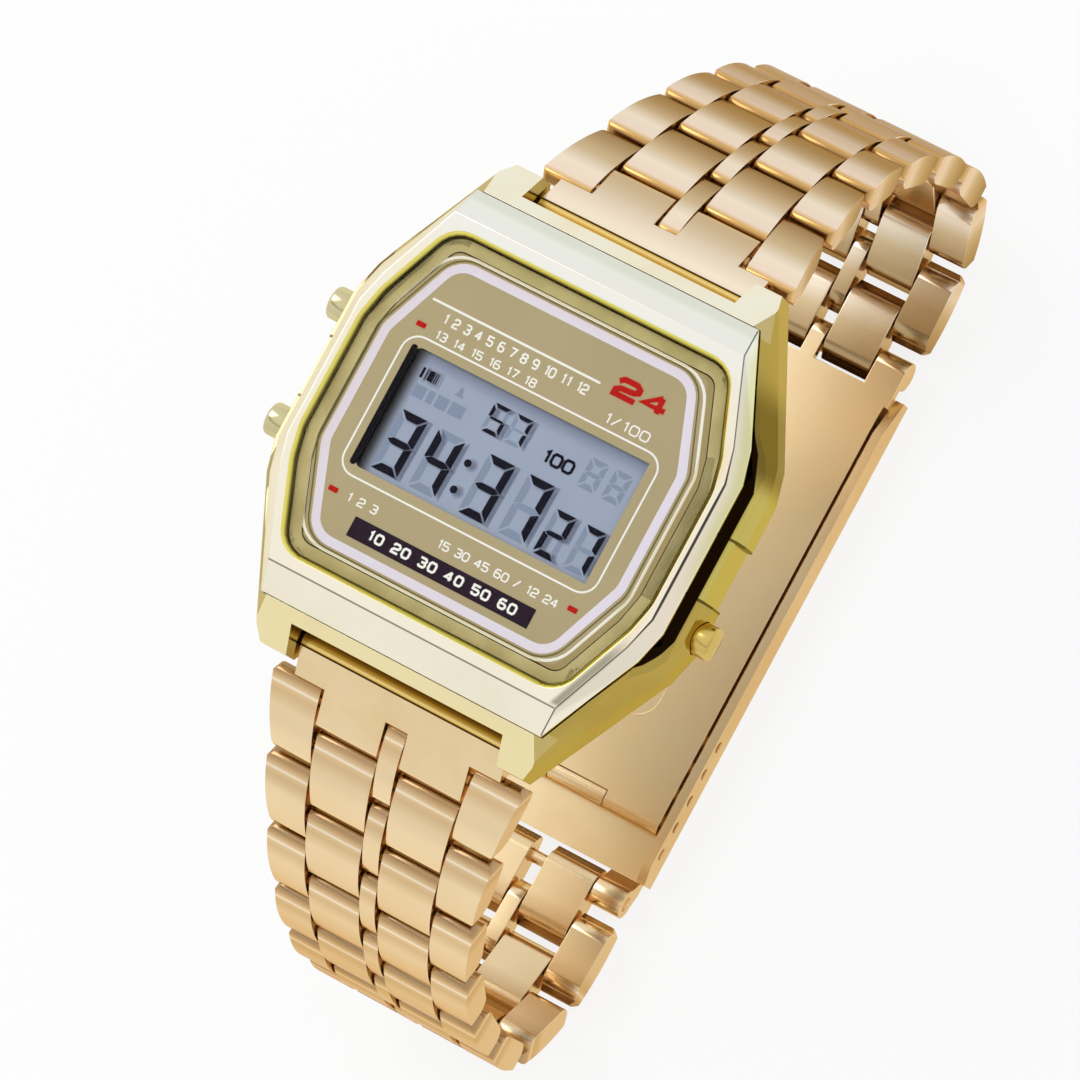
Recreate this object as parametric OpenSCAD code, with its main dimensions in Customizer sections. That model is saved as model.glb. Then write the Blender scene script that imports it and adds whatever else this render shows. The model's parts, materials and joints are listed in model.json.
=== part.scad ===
// Digital wristwatch with a five-row link bracelet, closed and standing on its clasp.
// Millimetres. +Z is up through the dial, +Y is 12 o'clock, +X is 3 o'clock.
// Case parts are drawn with Z = 0 on the outside of the case back and lifted onto the bracelet.

/* [Case] */
// Width of the case body across its flanks
case_w = 33.2; // [31:0.1:36]
// Length from lug tip to lug tip
case_l = 36.8; // [35.6:0.1:40]
// Height from the case back to the top of the bezel
case_h = 8.2; // [7.9:0.1:10]
// Width across the outsides of two lugs
lug_w = 21.1; // [20:0.1:24]
// Length of the straight stretch of each flank
waist_l = 11.2; // [8:0.2:14]
// Width of the slot between the lugs
slot_w = 16.9; // [15.5:0.1:18.4]
// Distance of the strap bars from the lug tips
bar_inset = 1.9; // [1.6:0.1:2.2]
// Height of the strap bars above the case back
bar_z = 1.8; // [1.7:0.1:2.2]
// Height of the lug tips above the case back
lug_h = 4.2; // [3.8:0.1:5]
// Height of the flank's upper edge
rim_h = 5.3; // [5.1:0.1:6]
// Width of the dark groove beside the bezel
groove_w = 1.0; // [0.5:0.1:1.1]

/* [Bezel and crystal] */
// Width of the bezel at its widest
bezel_w = 30.6; // [30:0.1:32]
// Length of the bezel
bezel_l = 30.8; // [30:0.1:31.4]
// Width of the opening for the crystal
opening_w = 27.4; // [26.6:0.1:28]
// Length of the opening for the crystal
opening_l = 24.2; // [23.6:0.1:25]
// Thickness of the crystal
crystal_t = 0.9; // [0.8:0.05:1.1]
// How far the crystal stands proud of the bezel
crystal_rise = 0.25; // [0:0.05:0.4]
// Width of the slope round the crystal's edge
crystal_slope = 1.15; // [0.5:0.05:1.5]

/* [Display] */
// Height of the window in the dial
window_l = 9.1; // [8:0.1:9.8]
// How far the window lies below the middle of the dial
window_drop = 0.45; // [0:0.05:0.8]
// Thickness of the coin cell
battery_t = 1.6; // [1.2:0.1:1.65]

/* [Buttons] */
// Diameter of a button head
button_d = 2.4; // [2:0.1:2.4]
// How far a button stands out of the flank
button_out = 1.2; // [1:0.1:1.6]
// Travel of a button
button_travel = 0.8; // [0.4:0.1:0.9]
// Distance of the buttons from the middle of the case
button_y = 4.5; // [3.9:0.1:5]

/* [Bracelet] */
// Distance between neighbouring link pins
pin_pitch = 3.45; // [3.4:0.05:3.6]
// Bracelet width at the case
strap_w = 19.4; // [18.6:0.1:20.4]
// Bracelet width at the clasp
strap_end_w = 15.6; // [15:0.1:17]
// Thickness of a link
link_t = 2.45; // [2.2:0.05:2.6]
// Diameter of a link pin
pin_d = 1.0; // [0.8:0.05:1.2]
// Slope of the end links below the case's plane
end_slope = 37; // [34:1:40]
// Bend at each pin along the side
side_bend = 5; // [4.6:0.2:5.2]
// Bend at each pin round the lower corner
corner_bend = 21; // [20:0.5:22]

/* [Clasp] */
// Thickness of the clasp's folded sheet
sheet_t = 0.8; // [0.6:0.05:0.9]
// Distance between the clasp's own two hinges
blade_l = 31; // [28:0.5:32]

/* [Hidden] */
$fn = 48;
// Gap between parts that don't move against each other
fit = 0.05;
// Gap on each side of a running pin
run = 0.05;
// Gap between neighbouring link faces
face_gap = 0.07;
// Share of a row's width that the middle piece takes on each side of the centre
centre_share = 0.043;
// Share of a row's width up to the outer edge of the inner pieces
inner_share = 0.31;
// Link rows on each side, outer and inner rows in turn
rows = 16;
// Rows over which the bracelet tapers
taper_rows = 8;
// Rows on the side, before the corner
side_rows = 11;
// Reach of a link beyond its pin
link_reach = pin_pitch / 2 - 0.2;
// Radius of a link's crowned top, of the nose at its ends, and the cut at its outer corners
crown_r = 11;
nose_r = 0.6;
corner_cut = 0.4;
// Length of an end link, bar to first pin
end_len = 4.2;
// Radius of the strap bar and of the tube round it
bar_r = 0.75;
tube_r = 1.45;
bar_tip_r = 0.4;
bar_tip_l = 1.0;
// Height of the bezel's edge above the case back
bezel_edge_h = case_h - 1.0;
deck_h = 4.9;
// Width of the bezel's skirt where it sits in the body
skirt_w = bezel_w - 1.2;
back_t = 0.9;
bar_y = case_l / 2 - bar_inset;
// Inside of the case
flank_t = 4.7;
end_t = 7.8;
cavity_w = case_w - 2 * flank_t;
cavity_l = case_l - 2 * end_t;
// Case-back screws
screw_x = lug_w / 2 - 1.15;
screw_y = case_l / 2 - 5.5;
screw_r = 0.45;
screw_head_r = 0.9;
// Crystal seat, dial and module heights
seat_h = case_h + crystal_rise - crystal_t;
crystal_edge_h = case_h - 0.2;
gasket_t = 0.2;
dial_t = 0.25;
dial_h = seat_h - 0.1;
lcd_t = 1.15;
lcd_h = dial_h - dial_t - 0.05;
// Liquid-crystal cell and the window over it
glass_w = cavity_w - 4;
window_w = glass_w - 0.9;
// Coin cell
battery_d = cavity_l - 1.2;
board_t = 0.5;
board_h = 3.95;
cell_h = 1.55;
flank_x = case_w / 2;
slope_y = bezel_l / 2;
button_h = 3.5;
shaft_r = 0.6;
head_in = 1.0;
spring_l = 1.9;
wire_r = 0.12;
spring_r = shaft_r + 2 * wire_r + 0.1;
// Clasp levels, measured from the last link pin
leaf_gap = 0.15;
leaf_pitch = sheet_t + leaf_gap;
leaf_top = link_t / 2 - 0.1;
hinge_z = leaf_top - sheet_t - leaf_gap / 2;
hinge_r = sheet_t + leaf_gap / 2;
hinge_pin_r = 0.4;
// Rails, ends and corners that a leaf keeps round its window
leaf_rail = 4.4;
leaf_end = 6.2;
leaf_corner_r = 1.8;
clasp_w = strap_end_w + 0.4;
blade_w = clasp_w - 1.9;
// Fingers that hold the last inner rows
finger_r = link_t / 2 - 0.1;
finger_w = clasp_w - 1.2;
finger_in = strap_end_w * inner_share + face_gap;
finger_mid = strap_end_w * centre_share - face_gap;
finger_reach = link_reach + 0.3;

// Angle below the horizontal of link row i
function row_angle(i) =
    end_slope + 3 + side_bend * min(i, side_rows - 1)
    + corner_bend * max(0, min(i, rows - 2) - side_rows + 1)
    + (i > rows - 2 ? (180 - row_angle(rows - 2)) / 2 : 0);
// Place of link pin i as [outwards from the middle, height over the case back]
function pin_at(i) =
    i == 0 ? [bar_y + end_len * cos(end_slope), bar_z - end_len * sin(end_slope)]
    : pin_at(i - 1) + pin_pitch * [cos(row_angle(i - 1)), -sin(row_angle(i - 1))];
// Bracelet width at a distance of t pins from the first pin
function width_at(t) =
    strap_end_w + (strap_w - strap_end_w) * pow(max(0, 1 - t / taper_rows), 2);

last_pin = pin_at(rows);
clasp_y = last_pin[0];
// Level of the case back's outside over the clasp's underside
lift = 2 * leaf_pitch + sheet_t - leaf_top - last_pin[1];

UPPER = [for (i = [1:rows]) str("upper_link_", i)];
LOWER = [for (i = [1:rows]) str("lower_link_", i)];

// Flat shapes

// Outline that is widest over the waist and narrower at both ends. Each long corner is eased
// by a shoulder, in_x in from the flank and out_y beyond the waist
module outline(w, l, end_w, waist, in_x = 0.65, out_y = 2.4) {
    corner = [[end_w / 2, l / 2], [w / 2 - in_x, waist / 2 + out_y], [w / 2, waist / 2]];
    last = len(corner) - 1;
    polygon(concat(corner, [for (i = [last:-1:0]) [corner[i][0], -corner[i][1]]],
                   [for (p = corner) [-p[0], -p[1]]],
                   [for (i = [last:-1:0]) [-corner[i][0], corner[i][1]]]));
}

// Rectangle with round corners
module round_rect(w, l, r) {
    square([w - 2 * r, l], center = true);
    square([w, l - 2 * r], center = true);
    for (x = [-1, 1], y = [-1, 1])
        translate([x * (w / 2 - r), y * (l / 2 - r)]) circle(r);
}

// Outline of the crystal and its opening, e larger all round, with rounded corners
module crystal_outline(e = 0) {
    corner_r = 2;
    offset(r = corner_r + e, $fn = 24) offset(delta = -corner_r)
        outline(opening_w, opening_l, opening_w - 5.7, opening_w - 19, 0.5, 2.2);
}

module plate(z, h) {
    translate([0, 0, z]) linear_extrude(h) children();
}

// Side profile, drawn as [y, z], across the width w
module across(w) {
    rotate([90, 0, 90]) translate([0, 0, -w / 2]) linear_extrude(w) children();
}

// Cylinder along X from x0 to x1
module rod_x(r, x0, x1, y = 0, z = 0) {
    translate([x0, y, z]) rotate([0, 90, 0]) cylinder(r = r, h = x1 - x0);
}

// Lifts case parts onto the bracelet
module lifted() {
    translate([0, 0, lift]) children();
}

// Case

module case_flanks() {
    hull() {
        plate(back_t, 0.01) outline(case_w - 2, case_l - 2, lug_w - 1, waist_l);
        plate(2.2, 2) outline(case_w, case_l, lug_w, waist_l);
        plate(rim_h - 0.01, 0.01) outline(case_w - 1.4, case_l, lug_w, waist_l);
        plate(bezel_edge_h - 0.01, 0.01)
            outline(bezel_w + 0.4, bezel_l + 0.4, lug_w, waist_l);
    }
}

module case_side_profile() {
    polygon([[-case_l / 2 + 1.2, back_t], [case_l / 2 - 1.2, back_t], [case_l / 2, 2.1],
             [case_l / 2, lug_h], [slope_y, bezel_edge_h], [-slope_y, bezel_edge_h],
             [-case_l / 2, lug_h], [-case_l / 2, 2.1]]);
}

module case_front_profile() {
    right = [[flank_x + 1, 0], [flank_x + 1, rim_h - 0.3], [flank_x - 0.8, rim_h],
             [flank_x - 2.2, bezel_edge_h - 0.5], [lug_w / 2 + 0.6, bezel_edge_h]];
    polygon(concat(right, [for (i = [len(right) - 1:-1:0]) [-right[i][0], right[i][1]]]));
}

// The bezel's solid outside, e larger all round: it flares from its seat to its edge
module bezel_blank(e = 0) {
    hull() {
        plate(deck_h, 0.01)
            outline(skirt_w + 2 * e, bezel_l + 2 * e, lug_w + 0.4 + 2 * e, waist_l);
        plate(bezel_edge_h - 0.3, 0.3)
            outline(bezel_w + 2 * e, bezel_l + 2 * e, lug_w + 1.2 + 2 * e, waist_l);
        plate(case_h - 0.01, 0.01 + e)
            outline(bezel_w - 1.6, bezel_l - 4.2, lug_w + 1.8, waist_l - 1);
    }
}

// Plan of the dark groove beside the bezel: it tapers towards both ends
module groove_plan() {
    x = skirt_w / 2 + groove_w;
    side_l = (bezel_l - waist_l) / 2;
    side_in = (skirt_w - lug_w) / 2;
    for (s = [-1, 1])
        polygon([[0, waist_l / 2 + 0.55 * side_l],
                 [s * (x - 0.65 * side_in), waist_l / 2 + 0.55 * side_l],
                 [s * x, waist_l / 2], [s * x, -waist_l / 2],
                 [s * (x - 0.42 * side_in), -waist_l / 2 - 0.22 * side_l],
                 [0, -waist_l / 2 - 0.22 * side_l]]);
}

module lug_slots() {
    undercut = 1.75;
    for (s = [-1, 1]) {
        translate([-slot_w / 2, s > 0 ? bar_y - undercut : -bar_y - 4, -1])
            cube([slot_w, 4 + undercut, lug_h + 0.3]);
        translate([-slot_w / 2, s > 0 ? bar_y - 0.1 : -bar_y - 3.9, -1])
            cube([slot_w, 4, case_h + 2]);
        rod_x(bar_tip_r + fit, -slot_w / 2 - bar_tip_l - 0.1, slot_w / 2 + bar_tip_l + 0.1,
              s * bar_y, bar_z);
    }
}

// One button's bore through a flank: side is 1 on the right and -1 on the left
module button_bore(side, y) {
    bottom = flank_x - head_in - spring_l - 0.1;
    mirror([side > 0 ? 0 : 1, 0, 0]) {
        rod_x(shaft_r + run, cavity_w / 2 - 1, bottom + 1, y, button_h);
        rod_x(spring_r + run, bottom, flank_x, y, button_h);
        rod_x(button_d / 2 + run, flank_x - head_in - button_travel - 0.1, flank_x + 1,
              y, button_h);
        rod_x(shaft_r + 0.34, bottom - 1.3, bottom - 0.85, y, button_h);
    }
}

module case_body() {
    color("darkkhaki") lifted() difference() {
        intersection() {
            case_flanks();
            across(case_w + 2) case_side_profile();
            translate([0, case_l, 0]) rotate([90, 0, 0])
                linear_extrude(2 * case_l) case_front_profile();
        }
        bezel_blank(fit);
        plate(deck_h, case_h) groove_plan();
        plate(0, case_h) round_rect(cavity_w, cavity_l, 2);
        plate(0, back_t + 0.45) difference() {
            round_rect(cavity_w + 1.9, cavity_l + 1.9, 2.6);
            round_rect(cavity_w + 0.5, cavity_l + 0.5, 2.2);
        }
        lug_slots();
        for (p = [[-1, 1], [-1, -1], [1, -1]])
            button_bore(p[0], p[1] * button_y);
        for (x = [-1, 1])
            translate([x * (flank_x + 1 - 0.45), -0.1, 4.2])
                cube([2, 4.4, 7], center = true);
        for (x = [-1, 1], y = [-1, 1])
            translate([x * screw_x, y * screw_y, 0]) cylinder(r = screw_r + fit, h = 3.4);
    }
}

module bezel() {
    color("beige") lifted() difference() {
        bezel_blank();
        plate(seat_h - gasket_t, case_h) crystal_outline();
        hull() {
            plate(case_h - 0.35, 0.01) crystal_outline(-0.04);
            plate(case_h, 0.1) crystal_outline(0.35);
        }
        plate(dial_h - dial_t - 0.05, case_h) crystal_outline(-0.95);
        plate(0, case_h) round_rect(cavity_w, cavity_l, 2);
    }
}

module crystal() {
    color("lightgrey", 0.4) lifted() hull() {
        plate(seat_h, crystal_edge_h - seat_h) crystal_outline(-fit);
        plate(seat_h + crystal_t - 0.01, 0.01) crystal_outline(-fit - crystal_slope);
    }
}

module crystal_gasket() {
    color("dimgrey") lifted() plate(seat_h - gasket_t, gasket_t) difference() {
        crystal_outline(-fit);
        crystal_outline(-0.9);
    }
}

module dial_plate() {
    color("darkkhaki") lifted() plate(dial_h - dial_t, dial_t) difference() {
        crystal_outline(-1.0);
        translate([0, -window_drop]) round_rect(window_w, window_l, 0.4);
    }
}

module display_glass() {
    color("lightsteelblue") lifted() {
        translate([0, -window_drop, 0]) {
            plate(lcd_h - lcd_t / 2, lcd_t / 2) square([glass_w, window_l + 1], center = true);
            plate(lcd_h - lcd_t, lcd_t / 2) square([glass_w, window_l + 2.6], center = true);
        }
    }
}

module contact_strips() {
    color("silver") lifted() for (s = [-1, 1])
        translate([-window_w / 2, s * (window_l / 2 + 0.5) - window_drop - 0.6, board_h + 0.02])
            cube([window_w, 1.2, lcd_h - lcd_t - board_h - 0.04]);
}

module module_frame() {
    fw = cavity_w - 0.4;
    fl = cavity_l - 0.4;
    color("gainsboro") lifted() difference() {
        plate(cell_h - 0.3, lcd_h - cell_h + 0.3) round_rect(fw, fl, 1.8);
        translate([0, 0, cell_h - 1]) cylinder(d = battery_d + 0.3, h = battery_t + 1.1, $fn = 96);
        plate(board_h - board_t - 0.1, lcd_h) square([glass_w + 0.2, fl - 1.4], center = true);
        for (p = [[-1, 1], [-1, -1], [1, -1]])
            translate([p[0] * fw / 2, p[1] * button_y, button_h])
                cube([fw - glass_w + 0.4, 3.4, 3.4], center = true);
    }
}

module circuit_board() {
    board_w = glass_w - 0.2;
    board_l = cavity_l - 2.2;
    color("seagreen") lifted() {
        plate(board_h - board_t, board_t) difference() {
            square([board_w, board_l], center = true);
            for (s = [-1, 1])
                translate([s * (board_w / 2 - 1.4), board_l / 2 - 1.3]) circle(0.7);
        }
        translate([0, 0, board_h]) {
            translate([0, -window_drop, 0.3]) cube([6.4, 6.4, 0.6], center = true);
            translate([6.4, -1.6, 0.3]) cube([3.2, 1.6, 0.6], center = true);
            translate([-6.6, 1, 0.2]) cube([1.6, 0.9, 0.4], center = true);
        }
    }
}

module battery() {
    color("silver") lifted() translate([0, 0, cell_h]) {
        cylinder(d = battery_d - 0.8, h = battery_t, $fn = 96);
        translate([0, 0, 0.25]) cylinder(d = battery_d, h = battery_t - 0.25, $fn = 96);
    }
}

module battery_clip() {
    color("goldenrod") lifted() plate(cell_h - 0.27, 0.22) difference() {
        union() {
            square([4.4, cavity_l - 1.6], center = true);
            square([battery_d - 5, 3.2], center = true);
        }
        circle(1.2);
        for (s = [-1, 1])
            translate([0, s * (cavity_l / 2 - 2)]) circle(0.6);
    }
}

module buzzer_disc() {
    color("gold") lifted() {
        translate([0, 0, back_t]) cylinder(d = 13, h = 0.12);
        translate([0, 0, back_t + 0.12]) cylinder(d = 9.4, h = 0.12);
    }
}

module case_back() {
    color("silver") lifted() difference() {
        hull() {
            plate(0, 0.01) outline(case_w - 7.4, case_l - 9.2, lug_w - 3.2, waist_l - 1);
            plate(0.5, back_t - 0.5) outline(case_w - 6.2, case_l - 8, lug_w - 2, waist_l);
        }
        for (x = [-1, 1], y = [-1, 1])
            translate([x * screw_x, y * screw_y, 0]) {
                translate([0, 0, -1]) cylinder(r = screw_r + fit, h = 3);
                translate([0, 0, -0.1]) cylinder(r = screw_head_r + fit, h = 0.55);
            }
    }
}

module back_gasket() {
    color("dimgrey") lifted() plate(back_t, 0.4) difference() {
        round_rect(cavity_w + 1.8, cavity_l + 1.8, 2.55);
        round_rect(cavity_w + 0.6, cavity_l + 0.6, 2.25);
    }
}

module back_screws() {
    color("silver") lifted() for (x = [-1, 1], y = [-1, 1])
        translate([x * screw_x, y * screw_y, 0]) difference() {
            union() {
                translate([0, 0, 0.05]) cylinder(r = screw_head_r, h = 0.4);
                translate([0, 0, 0.3]) cylinder(r = screw_r, h = 2.9);
            }
            translate([0, 0, 0.1]) cube([0.25, 1.2, 0.3], center = true);
            translate([0, 0, 0.1]) cube([1.2, 0.25, 0.3], center = true);
        }
}

// Buttons

module button(side, y) {
    head_x0 = flank_x - head_in;
    head_x1 = flank_x + button_out;
    stop_x = cavity_w / 2 - 0.35;
    color("khaki") lifted() mirror([side > 0 ? 0 : 1, 0, 0]) {
        rod_x(button_d / 2, head_x0, head_x1 - 0.25, y, button_h);
        rod_x(button_d / 2 - 0.2, head_x1 - 0.3, head_x1, y, button_h);
        rod_x(shaft_r, stop_x - 0.7, head_x0 + 0.2, y, button_h);
        rod_x(shaft_r + 0.5, stop_x - 0.25, stop_x, y, button_h);
    }
}

module button_light() { button(-1, button_y); }
module button_mode() { button(-1, -button_y); }
module button_start() { button(1, -button_y); }

// Return spring of a button: a round wire swept along a helix
module return_spring(side, y) {
    coil_r = spring_r - wire_r;
    turns = 4;
    steps = 14;
    sides = 6;
    n = turns * steps;
    x0 = flank_x - head_in - spring_l + wire_r - 0.05;
    rise = (spring_l - 2 * wire_r) / n;
    pts = [for (k = [0:n], j = [0:sides - 1])
        let (a = 360 * k / steps, b = 360 * j / sides, r = coil_r + wire_r * cos(b))
        [x0 + k * rise + wire_r * sin(b), y + r * cos(a), button_h + r * sin(a)]];
    faces = concat(
        [[for (j = [0:sides - 1]) j]],
        [for (k = [0:n - 1], j = [0:sides - 1])
            [k * sides + j, (k + 1) * sides + j, (k + 1) * sides + (j + 1) % sides]],
        [for (k = [0:n - 1], j = [0:sides - 1])
            [k * sides + j, (k + 1) * sides + (j + 1) % sides, k * sides + (j + 1) % sides]],
        [[for (j = [0:sides - 1]) n * sides + sides - 1 - j]]);
    color("silver") lifted() mirror([side > 0 ? 0 : 1, 0, 0])
        polyhedron(pts, faces);
}

module spring_light() { return_spring(-1, button_y); }
module spring_mode() { return_spring(-1, -button_y); }
module spring_start() { return_spring(1, -button_y); }

module button_seals() {
    x0 = flank_x - head_in - spring_l - 0.1 - 1.3;
    color("dimgrey") lifted() for (p = [[-1, 1], [-1, -1], [1, -1]])
        translate([p[0] * (x0 + 0.22), p[1] * button_y, button_h]) rotate([0, 90, 0])
            rotate_extrude() translate([shaft_r + 0.17, 0]) circle(0.14, $fn = 16);
}

module strap_bars() {
    color("silver") lifted() for (s = [-1, 1]) {
        rod_x(bar_r, -slot_w / 2 + 0.1, slot_w / 2 - 0.1, s * bar_y, bar_z);
        rod_x(bar_tip_r, -slot_w / 2 - bar_tip_l, slot_w / 2 + bar_tip_l, s * bar_y, bar_z);
    }
}

// Bracelet

// Round bar across the whole bracelet, in a link's own frame
module cross_bar(r, x, z = 0) {
    translate([x, strap_w, z]) rotate([90, 0, 0]) cylinder(r = r, h = 2 * strap_w);
}

// Side profile, drawn as [x, z], across the whole bracelet
module cross_profile(points) {
    rotate([90, 0, 0]) translate([0, 0, -strap_w]) linear_extrude(2 * strap_w) polygon(points);
}

// Body of a link from its first pin at x = 0 to its second at x = l, with Z outwards: the top
// is crowned and rolls over a round nose at both ends
module link_bar(l) {
    r = link_t / 2 - 0.05;
    top = link_t / 2;
    nose_x = -link_reach + nose_r;
    nose_z = top - crown_r + sqrt(pow(crown_r - nose_r, 2) - pow(l / 2 - nose_x, 2)) + 0.03;
    intersection() {
        union() {
            for (x = [0, l]) cross_bar(r, x);
            for (x = [nose_x, l - nose_x]) cross_bar(nose_r, x, nose_z);
            cross_profile([[0, -r], [-r * 0.94, -r * 0.34], [-link_reach, 0],
                           [-link_reach, nose_z], [nose_x, nose_z + nose_r], [nose_x, top],
                           [l - nose_x, top], [l - nose_x, nose_z + nose_r],
                           [l + link_reach, nose_z], [l + link_reach, 0],
                           [l + r * 0.94, -r * 0.34], [l, -r]]);
        }
        translate([0, 0, top - crown_r]) cross_bar(crown_r, l / 2);
    }
}

// Plan of the pieces between two shares of the bracelet's width, from pin i on. Their outer
// corners are cut back by cut
module plan_pieces(i, l, from, to, gap_in, gap_out, cut = 0) {
    beyond = 1;
    x0 = -link_reach - beyond;
    x1 = l + link_reach + beyond;
    w0 = width_at(i + x0 / pin_pitch);
    w1 = width_at(i + x1 / pin_pitch);
    back = cut > 0 ? beyond + cut : 0;
    for (s = [-1, 1])
        polygon([[x0, s * (w0 * from + gap_in)], [x1, s * (w1 * from + gap_in)],
                 [x1, s * (w1 * to - gap_out - back)], [x1 - back, s * (w1 * to - gap_out)],
                 [x0 + back, s * (w0 * to - gap_out)], [x0, s * (w0 * to - gap_out - back)]]);
}

// Outer row: two outer pieces and the narrow centre piece, pressed on two pins
module outer_row(i) {
    intersection() {
        link_bar(pin_pitch);
        translate([0, 0, -3]) linear_extrude(6) {
            plan_pieces(i, pin_pitch, inner_share, 0.5, face_gap, 0, corner_cut);
            plan_pieces(i, pin_pitch, 0, centre_share, -0.1, face_gap);
        }
    }
    for (x = [0, pin_pitch]) {
        w = width_at(i + x / pin_pitch) - 0.8;
        translate([x, w / 2, 0]) rotate([90, 0, 0]) cylinder(d = pin_d, h = w);
    }
}

// Inner row: two pieces that turn on the pins of the outer rows beside them.
// The last one at 6 o'clock holds the clasp's spring bar, its tips drawn in
module inner_row(i, with_bar) {
    difference() {
        intersection() {
            link_bar(pin_pitch);
            translate([0, 0, -3]) linear_extrude(6)
                plan_pieces(i, pin_pitch, centre_share, inner_share, face_gap, face_gap);
        }
        for (x = [0, pin_pitch]) cross_bar(pin_d / 2 + run, x);
    }
    bar_l = 2 * width_at(rows) * inner_share - 2 * face_gap - 0.1;
    if (with_bar)
        translate([pin_pitch, bar_l / 2, 0]) rotate([90, 0, 0])
            cylinder(d = pin_d, h = bar_l);
}

// Puts a row, drawn flat along +X, on the side of the bracelet: side is 1 at 12 o'clock
module on_bracelet(side, p, angle) {
    mirror([0, side > 0 ? 0 : 1, 0])
        translate([0, p[0], p[1] + lift]) rotate([-angle, 0, 0]) rotate([0, 0, 90]) children();
}

module link_row(side, n) {
    i = n - 1;
    color(i % 2 == 0 ? "burlywood" : "tan") on_bracelet(side, pin_at(i), row_angle(i))
        if (i % 2 == 0) outer_row(i);
        else inner_row(i, side < 0 && n == rows);
}

module end_link(side) {
    shoulder = end_len - link_reach - 0.2;
    tube_w = slot_w - 0.3;
    r = link_t / 2 - 0.05;
    edge = 0.55;
    top = link_t / 2;
    tip = end_len + link_reach;
    color("burlywood") on_bracelet(side, [bar_y, bar_z], end_slope) difference() {
        intersection() {
            union() {
                cross_bar(tube_r, 0);
                cross_bar(r, end_len);
                cross_bar(edge, tip - edge, top - edge);
                cross_profile([[0, -tube_r], [0, tube_r], [1.8, top], [tip - edge, top],
                               [tip, top - edge], [tip, 0], [end_len + r * 0.94, -r * 0.34],
                               [end_len, -r]]);
            }
            end_link_blocks(shoulder, tube_w, tip);
        }
        cross_bar(bar_r + run, 0);
        cross_bar(pin_d / 2 + run, end_len);
    }
}

// The tube and shoulder between the lugs, then the two tongues that take the first pin
module end_link_blocks(shoulder, tube_w, tip) {
    w = width_at(0);
    inner = w * centre_share + face_gap;
    outer = w * inner_share - face_gap - 0.1;
    translate([-tube_r - 1, -tube_w / 2, -3]) cube([shoulder + tube_r + 1, tube_w, 6]);
    for (y = [-outer, inner])
        translate([shoulder - 0.5, y, -3]) cube([tip - shoulder + 1, outer - inner, 6]);
}

module upper_end_link() { end_link(1); }
module lower_end_link() { end_link(-1); }

// Clasp, drawn about the level of the last link pins, with Y as on the watch

module on_clasp() {
    translate([0, 0, lift + last_pin[1]]) children();
}

// Sheet of the clasp from y0 to y1 with its lower face at z
module leaf(w, y0, y1, z) {
    translate([-w / 2, y0, z]) cube([w, y1 - y0, sheet_t]);
}

// Knuckles of a hinge: the side pair where outer is true, or the one between them
module knuckles(w, y, z, outer) {
    third = w / 6;
    spans = outer ? [[-w / 2, -third - 0.06], [third + 0.06, w / 2]] : [[-third, third]];
    for (s = spans) rod_x(hinge_r, s[0], s[1], y, z);
}

// Room that a leaf leaves round the other leaf's knuckles
module knuckle_room(w, y, z, outer) {
    third = w / 6;
    spans = outer ? [[-third - 0.06, third + 0.06]] : [[-w, -third], [third, w]];
    for (s = spans) rod_x(hinge_r + 0.1, s[0], s[1], y, z);
}

module clasp_inner_blade() {
    z = leaf_top - sheet_t;
    arms = [[-finger_w / 2, -finger_in], [-finger_mid, finger_mid], [finger_in, finger_w / 2]];
    color("tan") on_clasp() {
        difference() {
            union() {
                leaf(blade_w, -blade_l / 2, clasp_y - finger_reach, z);
                for (x = arms) {
                    rod_x(finger_r, x[0], x[1], clasp_y);
                    translate([x[0], clasp_y - finger_reach - 1, z])
                        cube([x[1] - x[0], finger_reach + 1, sheet_t]);
                }
                knuckles(blade_w, -blade_l / 2, hinge_z, true);
            }
            translate([0, 0, z - 1]) linear_extrude(3)
                round_rect(blade_w - 2 * leaf_rail, blade_l - 2 * leaf_end, leaf_corner_r);
            knuckle_room(blade_w, -blade_l / 2, hinge_z, true);
        }
        rod_x(pin_d / 2, -finger_w / 2 + 0.3, finger_w / 2 - 0.3, clasp_y);
        rod_x(hinge_pin_r, -blade_w / 2 + 0.2, blade_w / 2 - 0.2, -blade_l / 2, hinge_z);
    }
}

module clasp_outer_blade() {
    z = leaf_top - sheet_t - leaf_pitch;
    color("tan") on_clasp() difference() {
        union() {
            leaf(blade_w, -blade_l / 2, blade_l / 2, z);
            knuckles(blade_w, -blade_l / 2, hinge_z, false);
            knuckles(blade_w, blade_l / 2, hinge_z - leaf_pitch, false);
        }
        translate([0, 0, z - 1]) linear_extrude(3)
            round_rect(blade_w - 2 * leaf_rail, blade_l - 2 * leaf_rail, leaf_corner_r);
        knuckle_room(blade_w, -blade_l / 2, hinge_z, false);
        knuckle_room(blade_w, blade_l / 2, hinge_z - leaf_pitch, false);
        for (s = [-1, 1])
            rod_x(hinge_pin_r + run, -blade_w, blade_w, s * blade_l / 2,
                  hinge_z - (s > 0 ? leaf_pitch : 0));
    }
}

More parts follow.
